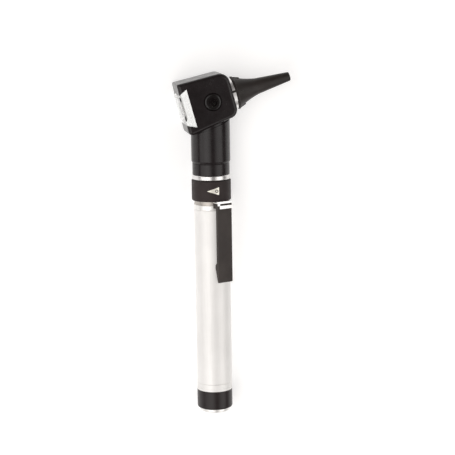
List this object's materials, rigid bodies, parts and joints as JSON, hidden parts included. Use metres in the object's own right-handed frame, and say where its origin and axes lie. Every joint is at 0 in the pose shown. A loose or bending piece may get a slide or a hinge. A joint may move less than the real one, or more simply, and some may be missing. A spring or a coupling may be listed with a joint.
{
  "type": "otoscope",
  "caption": "Pocket otoscope with a metal battery handle, black tilted head, side lens and black ear tip; all caps, collar, clip and head move.",
  "frame": {"origin": "centre of the end disc's outer face, on the handle's axis", "axes": "+Y along the handle from the end disc to the head, +X towards the ear tip, +Z out of the side with the air port"},
  "size_m": [0.0588, 0.1732, 0.023],
  "materials": {
    "black_plastic": "satin black moulded plastic",
    "speculum_plastic": "thin black moulded plastic, slight gloss",
    "tube_metal": "bright satin, brushed along its length",
    "chrome": "polished plate",
    "steel": "fine turned",
    "brass": "turned contact metal",
    "cell_can": "plain printed sleeve",
    "white_plastic": "heat-resisting insulator",
    "brown_plastic": "moulded track ring",
    "pale_inlay": "pale metallic inlay",
    "rubber": "soft seal",
    "clear_acrylic": "clear polished acrylic",
    "lamp_glass": "clear lamp glass",
    "fibre": "drawn glass fibres"
  },
  "bodies": {
    "handle": {"handle_tube": "tube_metal", "bottom_ferrule": "tube_metal", "top_ferrule": "chrome", "battery_lower": "cell_can", "battery_upper": "cell_can", "handle_spindle": "steel", "contact_insulator": "white_plastic", "upper_contact": "brass", "rheostat_ring": "brown_plastic", "wave_washer": "steel", "retaining_ring": "chrome", "clip_root": "black_plastic", "clip_trim": "chrome", "clip_tongue": "chrome"},
    "switch_collar": {"collar": "black_plastic", "collar_pointer": "pale_inlay", "collar_pointer_ring": "black_plastic", "wiper_contact": "brass"},
    "clip_arm": {"pocket_clip": "black_plastic"},
    "contact_pin": {"contact_plunger": "brass", "plunger_spring": "steel"},
    "cap_follower": {"battery_spring": "steel"},
    "screw_cap": {"base_cap": "black_plastic", "base_disc": "chrome", "spring_plate": "steel"},
    "neck_seal": {"connector_o_ring": "rubber"},
    "head": {"neck_ring": "black_plastic", "head_connector": "steel", "neck_shell": "black_plastic", "lamp_holder": "white_plastic", "lamp_base": "brass", "lamp_bulb": "lamp_glass", "lamp_filament": "steel", "fibre_bundle": "fibre", "fibre_ring": "black_plastic", "head_housing": "black_plastic", "port_fitting": "black_plastic", "lens_gasket": "rubber", "nose_cone": "steel", "nose_ring": "chrome"},
    "lens": {"viewing_lens": "clear_acrylic"},
    "ear_tip": {"speculum": "speculum_plastic"}
  },
  "joints": [
    {"name": "collar_turn", "type": "hinge", "parent": "handle", "child": "switch_collar", "pos_m": [0, 0.1147, 0], "axis": [0, 1, 0], "range_deg": [0, 110]},
    {"name": "clip_flex", "type": "hinge", "parent": "handle", "child": "clip_arm", "pos_m": [0.00481, 0.1063, 0.01132], "axis": [-0.9205, 0, 0.3907], "range_deg": [0, 6], "stiffness_Nm_per_rad": 1.2},
    {"name": "contact_press", "type": "slide", "parent": "handle", "child": "contact_pin", "axis": [0, 1, 0], "range_m": [0, 0.0012], "stiffness_N_per_m": 250},
    {"name": "cap_travel", "type": "slide", "parent": "handle", "child": "cap_follower", "axis": [0, -1, 0], "range_m": [0, 0.006]},
    {"name": "cap_turn", "type": "hinge", "parent": "cap_follower", "child": "screw_cap", "pos_m": [0, 0.006, 0], "axis": [0, -1, 0], "range_deg": [0, 1445]},
    {"name": "head_pull", "type": "slide", "parent": "handle", "child": "neck_seal", "axis": [0, 1, 0], "range_m": [0, 0.02]},
    {"name": "head_twist", "type": "hinge", "parent": "neck_seal", "child": "head", "pos_m": [0, 0.1252, 0], "axis": [0, 1, 0], "range_deg": [0, 45]},
    {"name": "lens_slide", "type": "slide", "parent": "head", "child": "lens", "axis": [0, 0, 1], "range_m": [0, 0.02]},
    {"name": "speculum_pull", "type": "slide", "parent": "head", "child": "ear_tip", "axis": [0.9659, 0.2588, 0], "range_m": [0, 0.02]}
  ],
  "couplings": [
    {"joint": "cap_turn", "follows": "cap_travel", "rad_per_m": 4188.8}
  ]
}
